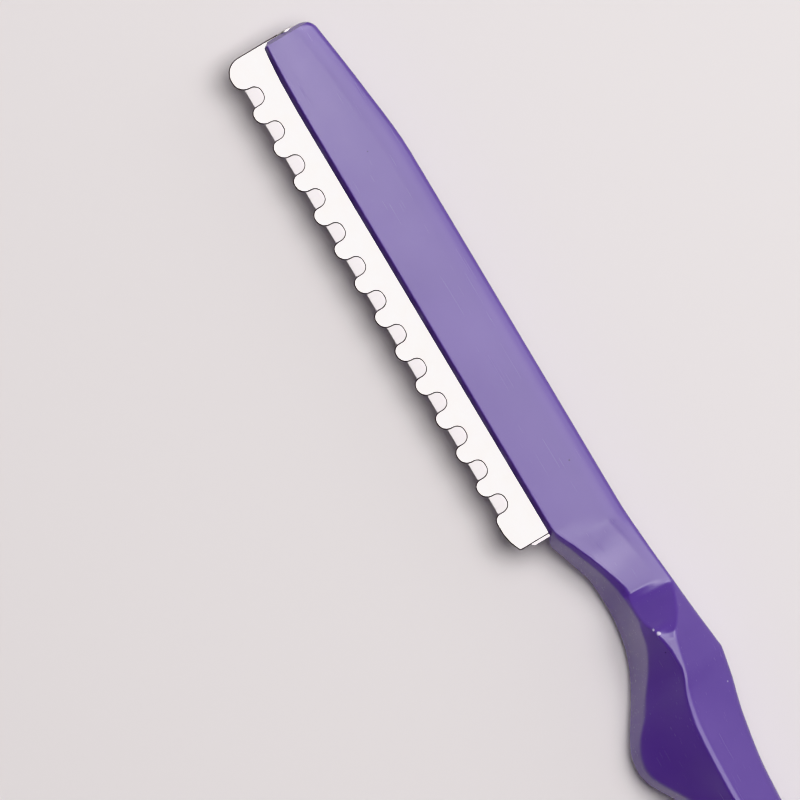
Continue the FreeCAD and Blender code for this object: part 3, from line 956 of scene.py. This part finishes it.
def colour(code):
    """Linear RGBA from an sRGB hex code."""
    values = [int(code[i:i + 2], 16) / 255 for i in (1, 3, 5)]
    linear = [v / 12.92 if v <= 0.04045 else ((v + 0.055) / 1.055) ** 2.4 for v in values]
    return (*linear, 1)


def per(size_mm):
    """Texture scale for a pattern whose features are this many millimetres apart."""
    return 1 / (size_mm * MM)


def add_node(material, kind, settings=None, **links):
    """Adds a node, sets its properties or sockets by name, and links its inputs.

    A link's name is the input's name with spaces as underscores, or i and the input's number. Its
    value is an output socket, or a node whose first output is meant.
    """
    tree = material.node_tree
    node = tree.nodes.new(kind)
    for name, value in (settings or {}).items():
        if isinstance(name, int) or name in node.inputs:
            node.inputs[name].default_value = value
        else:
            setattr(node, name, value)
    for name, source in links.items():
        socket = node.inputs[int(name[1:]) if name[1:].isdigit() else name.replace("_", " ")]
        output = source if isinstance(source, bpy.types.NodeSocket) else source.outputs[0]
        tree.links.new(output, socket)
    return node


def noise(material, where, size_mm, detail):
    """Noise whose features are about this many millimetres apart."""
    settings = {"Scale": per(size_mm), "Detail": detail}
    return add_node(material, "ShaderNodeTexNoise", settings, Vector=where)


def two_tones(material, pattern, dark, light):
    """Colours between two tones, each given as (where on the pattern, hex code)."""
    ramp = add_node(material, "ShaderNodeValToRGB", Fac=pattern)
    for stop, (position, code) in zip(ramp.color_ramp.elements, (dark, light)):
        stop.position = position
        stop.color = colour(code)
    return ramp


def ranged(material, pattern, start, end):
    """The pattern's values from start to end, each given as (the pattern's value, the result)."""
    settings = {"From Min": start[0], "From Max": end[0], "To Min": start[1], "To Max": end[1]}
    return add_node(material, "ShaderNodeMapRange", settings, Value=pattern)


def bumped(material, height, strength, depth_mm, **links):
    """Bump of this strength from a pattern, as deep as this many millimetres."""
    settings = {"Strength": strength, "Distance": depth_mm * MM}
    return add_node(material, "ShaderNodeBump", settings, Height=height, **links)


def new_material(name, **surface):
    """Material with one shader, whose constants are set on its own sockets. Returns both."""
    material = bpy.data.materials.new(name)
    material.use_nodes = True
    shader = material.node_tree.nodes["Principled BSDF"]
    for socket, value in surface.items():
        shader.inputs[socket.replace("_", " ")].default_value = value
    return material, shader


def feed(material, shader, **links):
    """Links the shader's sockets from the ends of the patterns."""
    for name, source in links.items():
        output = source if isinstance(source, bpy.types.NodeSocket) else source.outputs[0]
        material.node_tree.links.new(output, shader.inputs[name.replace("_", " ")])


def dress(piece, material, body, node):
    """Gives a piece its material and ties it to the frame."""
    piece.data.materials.clear()
    piece.data.materials.append(material)
    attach(piece, body)
    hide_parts(node)


# %% [markdown]
# ### Glossy moulded ABS, tinted purple
# Injection-moulded ABS takes the mould's polish, so it mirrors the soft light in flat, slightly
# clouded sheets of grey over its own colour. Close up it has three faults: a faint ripple like
# orange peel, hairline scratches along its length from use, and dust that clings by static. Pale
# spots are painted into its colour: the two at the ramp's top are a painted highlight, the glint
# on the ridge's sharp corner, and one more pale spot sits on the spine's facet. The index of
# refraction of ABS is 1.53.


# %% Handle plastic
# Painted highlight: pale spots as (back, out, up, radius); the ramp-top pair paints the ridge's
# glint.
glint_and_pale_spots = [(80.5, -4.85, 5.95, 0.33), (79.85, -4.6, 5.6, 0.17), (89.3, -8.7, 2.1, 0.17)]


def moulded_abs():
    """Purple glossy ABS with clouding, ripple, hairline scratches, dust and painted pale glint
    spots.
    """
    material, shader = new_material("moulded_purple_abs", IOR=1.53)
    where = add_node(material, "ShaderNodeTexCoord").outputs["Object"]
    clouds = noise(material, where, 14, 3.0)
    tint = two_tones(material, clouds, (0.25, "#5d4693"), (0.8, "#67509d"))

    dust_cells = add_node(material, "ShaderNodeTexVoronoi", {"Scale": per(3.5)}, Vector=where)
    speck = ranged(material, dust_cells.outputs["Distance"], (0.02, 1.0), (0.035, 0.0))
    chosen = add_node(
        material,
        "ShaderNodeMath",
        {"operation": "GREATER_THAN"},
        i0=add_node(material, "ShaderNodeSeparateColor", Color=dust_cells.outputs["Color"]),
    )
    chosen.inputs[1].default_value = 0.72
    dust = add_node(material, "ShaderNodeMath", {"operation": "MULTIPLY"}, i0=speck, i1=chosen)
    base = add_node(
        material,
        "ShaderNodeMix",
        {"data_type": "RGBA", MIX_B: colour("#40305e")},
        i0=dust,
        i6=tint,
    ).outputs[MIX_RESULT]

    ragged = noise(material, where, 0.4, 3.0)
    # Each spot mixes pale paint into the base colour: a painted highlight at the ramp's top.
    for back, out, up, radius in glint_and_pale_spots:
        away = add_node(
            material,
            "ShaderNodeVectorMath",
            {"operation": "DISTANCE", 1: place(back, out, up)},
            i0=where,
        ).outputs["Value"]
        uneven = add_node(material, "ShaderNodeMath", {"operation": "MULTIPLY"}, i0=away, i1=ragged)
        spot = ranged(material, uneven, (0.3 * radius * MM, 0.6), (0.5 * radius * MM, 0.0))
        base = add_node(
            material,
            "ShaderNodeMix",
            {"data_type": "RGBA", MIX_B: colour("#e6e0ee")},
            i0=spot,
            i6=base,
        ).outputs[MIX_RESULT]

    stretched = add_node(
        material,
        "ShaderNodeMapping",
        {"Scale": (0.02, 1.0, 1.0), "Rotation": (0, 0, 0.06)},
        Vector=where,
    )
    hairs = noise(material, stretched, 0.16, 2.0)
    scratches = ranged(material, hairs, (0.68, 0.0), (0.76, 1.0))
    patches = noise(material, where, 6, 4.0)
    gloss = ranged(material, patches, (0.2, 0.205), (0.8, 0.27))
    settings = {"operation": "MULTIPLY_ADD"}
    dulled = add_node(material, "ShaderNodeMath", settings, i0=scratches, i2=gloss)
    dulled.inputs[1].default_value = 0.1

    peel = noise(material, where, 1.1, 2.0)
    ripple = bumped(material, peel, 0.12, 0.02)
    grooves = add_node(
        material,
        "ShaderNodeBump",
        {"Strength": 0.1, "Distance": 0.01 * MM, "invert": True},
        Height=scratches,
        Normal=ripple,
    )
    feed(material, shader, Base_Color=base, Roughness=dulled, Normal=grooves)
    return material


# %% [markdown]
# ### Stainless sheet, stamped and tumbled
# Stainless steel reflects a little over half of the light, almost without colour. The strip is
# rolled, pressed and then tumbled smooth, so it has no polish lines, but a satin cloudiness with
# small pits and marks, which breaks the soft light's reflection into warm and cool patches.


# %% Guard steel
def tumbled_stainless():
    """Satin stainless sheet with faint mottling, rolling grain and small pits."""
    material, shader = new_material("tumbled_stainless_sheet", Metallic=1.0)
    where = add_node(material, "ShaderNodeTexCoord").outputs["Object"]
    mottle = noise(material, where, 2.0, 5.0)
    tone = two_tones(material, mottle, (0.32, "#c8c5c3"), (0.66, "#eeecec"))
    grain_space = add_node(material, "ShaderNodeMapping", {"Scale": (0.05, 1.0, 1.0)}, Vector=where)
    grain = noise(material, grain_space, 0.12, 3.0)
    satin = ranged(material, mottle, (0.3, 0.3), (0.7, 0.42))
    pits = add_node(material, "ShaderNodeTexVoronoi", {"Scale": per(1.3)}, Vector=where)
    pit = ranged(material, pits.outputs["Distance"], (0.03, 0.0), (0.07, 1.0))
    grained = bumped(material, grain, 0.08, 0.01)
    pitted = bumped(material, pit, 0.35, 0.02, Normal=grained)
    feed(material, shader, Base_Color=tone, Roughness=satin, Normal=pitted)
    return material


# %% [markdown]
# ### Edge of the sheet, with painted shade
# A press tool shears the outer half of the sheet's thickness and tears the rest, and tumbling
# rounds it. The rounded edge gets a dark grey colour that is painted shade: it stands for the edge
# wall in shadow and the dark room it mirrors, which draw a dark outline round each tooth.


# %% Guard edge, painted shade
def shaded_sheet_edge():
    """Rough stainless edge, coloured dark grey as painted shade of the edge wall in shadow."""
    material, shader = new_material("stainless_edge_painted_shade", Metallic=1.0, Roughness=0.5)
    where = add_node(material, "ShaderNodeTexCoord").outputs["Object"]
    edge_mottle = noise(material, where, 0.4, 3.0)
    tone = two_tones(material, edge_mottle, (0.3, "#575153"), (0.7, "#746d6f"))
    rough = bumped(material, edge_mottle, 0.2, 0.01)
    feed(material, shader, Base_Color=tone, Normal=rough)
    return material


# %% [markdown]
# ### Hardened blade steel, ground and honed
# Blade strip is a carbon or stainless steel, ground wet on a wheel. Grinding leaves fine lines
# across the blade, about ten to the millimetre, which are too fine to show here and are drawn
# about three times as coarse.


# %% Blade and bead steel
def ground_steel(name, light, dark, roughness, line_mm):
    """Bright steel with fine grinding lines across its length."""
    material, shader = new_material(name, Metallic=1.0)
    where = add_node(material, "ShaderNodeTexCoord").outputs["Object"]
    across = add_node(material, "ShaderNodeMapping", {"Scale": (1.0, 0.04, 0.04)}, Vector=where)
    lines = noise(material, across, line_mm, 2.0)
    tone = two_tones(material, lines, (0.35, dark), (0.65, light))
    worn = ranged(material, lines, (0.3, roughness - 0.05), (0.7, roughness + 0.07))
    ridged = bumped(material, lines, 0.15, 0.01)
    feed(material, shader, Base_Color=tone, Roughness=worn, Normal=ridged)
    return material


# %% Dressing the pieces
dress(handle, moulded_abs(), "handle_body", "handle")
head_front = place(0, -1, 0).y
# The rim's faces ahead of the head's front take the second material, the edge's painted shade.
edges = [part.material_index * (part.center.y > head_front) for part in guard.data.polygons]
dress(guard, tumbled_stainless(), "guard_body", "comb_guard")
guard.data.materials.append(shaded_sheet_edge())
guard.data.polygons.foreach_set("material_index", edges)
blade_finish = ground_steel("ground_blade_steel", "#d9d4d5", "#cbc6c8", 0.33, 0.3)
dress(blade, blade_finish, "blade_body", "blade")
bead_finish = ground_steel("drawn_bead_steel", "#b0afb1", "#9c9b9f", 0.34, 0.5)
dress(bead, bead_finish, "blade_body", "blade_spine")
print("materials:", [material.name for material in bpy.data.materials])

# %% [markdown]
# ## The table, the light and the camera
# The razor lies on a plain pale table. A wide soft light hangs above it and leans toward the
# spine's side, so the flat cheek and the steel mirror it, while the facets and the ramp, which
# tilt away, mirror the darker room. That contrast is what makes the facets read. The light is
# laid out in panels of different brightness, as a softbox is never even. Most of them only show
# in the gloss. What falls on the table comes from nearly overhead, which keeps the shadow by the
# comb narrow.


# %% The table
def table_top():
    """Wide pale table top at the razor's lowest point."""
    deselect_all()
    middle = (handle_low + handle_high) / 2
    bpy.ops.mesh.primitive_plane_add(size=3, location=(middle.x, middle.y, handle_low.z))
    table = bpy.context.object
    table.name = "table_top"
    fix_transform(table)
    material, shader = new_material("pale_table", Roughness=0.65, Specular_IOR_Level=0.2)
    where = add_node(material, "ShaderNodeTexCoord").outputs["Object"]
    cells = add_node(material, "ShaderNodeTexVoronoi", {"Scale": per(26)}, Vector=where)
    crumb = ranged(material, cells.outputs["Distance"], (0.007, 0.8), (0.012, 0.0))
    base = add_node(
        material,
        "ShaderNodeMix",
        {"data_type": "RGBA", 6: colour("#e6e2e2"), MIX_B: colour("#6e6a6c")},
        i0=crumb,
    ).outputs[MIX_RESULT]
    feed(material, shader, Base_Color=base)
    table.data.materials.append(material)


table_top()

# %% The soft light, built from panels over the razor, each a little higher than the last
LIGHT_HEIGHT = 0.8
PANEL_STEP = 0.004
light_target = place(42.8, 0, HEAD_HALF)


def panel(name, tip_lean, spine_lean, radiance, lights=True, mirrored=True):
    """Flat soft light overhead, between these leans from straight up, in degrees.

    Leans count positive toward the tip and toward the spine's side. Some panels are only mirrored
    by the razor, and one only lights: together they stand for a softbox brighter in some parts.
    """
    height = LIGHT_HEIGHT + PANEL_STEP * len(bpy.data.lights)
    left, right = (math.tan(math.radians(lean)) * height for lean in tip_lean)
    near, far = (math.tan(math.radians(lean)) * height for lean in spine_lean)
    middle = light_target + Vector(((left + right) / 2, -(near + far) / 2, height))
    deselect_all()
    bpy.ops.object.light_add(type="AREA", location=middle)
    light = bpy.context.object
    light.name = name
    light.data.shape = "RECTANGLE"
    light.data.size = right - left
    light.data.size_y = far - near
    light.data.energy = radiance * math.pi * light.data.size * light.data.size_y
    light.data.color = colour("#fffdfd")[:3]
    light.visible_camera = False
    light.visible_diffuse = lights
    light.visible_glossy = mirrored
    return light


panel("big_softbox", (-15, 15), (2, 38), 3.75)
panel("table_light", (-15, 25), (3, 30), 5.4, mirrored=False)
panel("overhead", (-8, 11), (-7, 2), 3.5)
panel("overhead_strip", (4, 13), (-7, 3), 9.0, lights=False)
panel("neck_light", (-16, -7.5), (-7, 1), 12.5, lights=False)
panel("bright_corner", (5, 15), (8, 38), 1.0, lights=False)
panel("bright_end", (15, 32), (12, 38), 6.6, lights=False)
panel("low_edge", (-32, 32), (38, 56), 2.2, lights=False)
panel("far_end", (-32, -15), (24, 38), 2.8, lights=False)

# %% [markdown]
# The rest of the room is dark, apart from dim glows low all round: a pale wall on the spine's
# side and fainter ones on the other three sides. They give the tilted facets their grey
# sheen. The world's strength follows its direction, with one smooth lobe for each wall.

# %% The room
room_glows = [((0, -1, 0.18), 1.15), ((1, 0, 0.18), 0.5), ((0, 1, 0.18), 0.2), ((-1, 0, 0.18), 0.2)]
EVEN_GLOW = 0.05
GLOW_TIGHTNESS = 6.0

world = bpy.data.worlds.new("dim_room")
bpy.context.scene.world = world
world.use_nodes = True
room = world.node_tree.nodes["Background"]
room.inputs["Color"].default_value = colour("#fffafc")
direction = add_node(world, "ShaderNodeTexCoord").outputs["Generated"]
total = None
for toward, strength in room_glows:
    facing = add_node(
        world,
        "ShaderNodeVectorMath",
        {"operation": "DOT_PRODUCT", 1: Vector(toward).normalized()},
        i0=direction,
    ).outputs["Value"]
    ahead = add_node(world, "ShaderNodeMath", {"operation": "MAXIMUM", 1: 0.0}, i0=facing)
    lobe = add_node(world, "ShaderNodeMath", {"operation": "POWER", 1: GLOW_TIGHTNESS}, i0=ahead)
    glow = add_node(world, "ShaderNodeMath", {"operation": "MULTIPLY", 1: strength}, i0=lobe)
    if total is not None:
        glow = add_node(world, "ShaderNodeMath", {"operation": "ADD"}, i0=total, i1=glow)
    total = glow
even = add_node(world, "ShaderNodeMath", {"operation": "ADD", 1: EVEN_GLOW}, i0=total)
world.node_tree.links.new(even.outputs[0], room.inputs["Strength"])

# %% [markdown]
# The camera looks straight down from far away through a long lens, so the razor is drawn almost
# without perspective. It frames the head, the neck and the first of the grip, and the tail runs
# out of the picture.

# %% The camera
VIEW_WIDTH = 91.1
VIEW_DISTANCE = 1200.0
VIEW_BACK = 42.73
VIEW_OUT = 6.68
VIEW_TURN = -120.88

deselect_all()
bpy.ops.object.camera_add(
    location=place(VIEW_BACK, VIEW_OUT, SHEET_MIDDLE + VIEW_DISTANCE),
    rotation=(0, 0, math.radians(VIEW_TURN)),
)
camera = bpy.context.object
camera.name = "overhead_camera"
camera.data.lens = camera.data.sensor_width * VIEW_DISTANCE / VIEW_WIDTH
camera.data.clip_end = 10
bpy.context.scene.camera = camera
bpy.context.scene.view_settings.view_transform = "Khronos PBR Neutral"
bpy.context.scene.view_settings.exposure = 0
